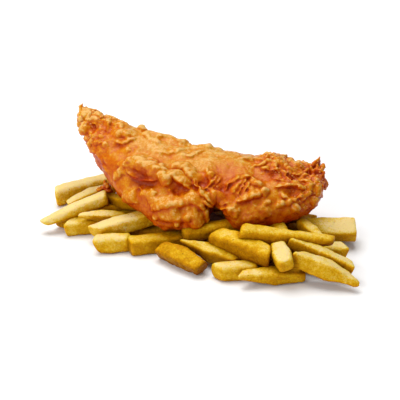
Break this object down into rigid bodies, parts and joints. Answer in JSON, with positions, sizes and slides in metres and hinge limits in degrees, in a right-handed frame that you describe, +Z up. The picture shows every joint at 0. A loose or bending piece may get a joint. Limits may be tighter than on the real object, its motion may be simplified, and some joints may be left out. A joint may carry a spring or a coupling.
{
  "type": "fish and chips",
  "caption": "Battered fish fillet lying on a loose heap of thick-cut fried potato chips.",
  "frame": {"origin": "on the heap's flat underside, near the middle of the heap", "axes": "+X along the fillet from its tail to its thick end, -Y the front, where most of the chips show, +Z up"},
  "size_m": [0.2567, 0.2061, 0.084],
  "materials": {
    "fried_potato": "fried potato: pale yellow cut faces, golden edges and ends, a thin film of oil",
    "batter": "crisp golden batter, pale where smooth and brown on blisters and scraps, slightly oily"
  },
  "bodies": {
    "root": {"chip_heap": "fried_potato", "fish": "batter"}
  },
  "joints": []
}
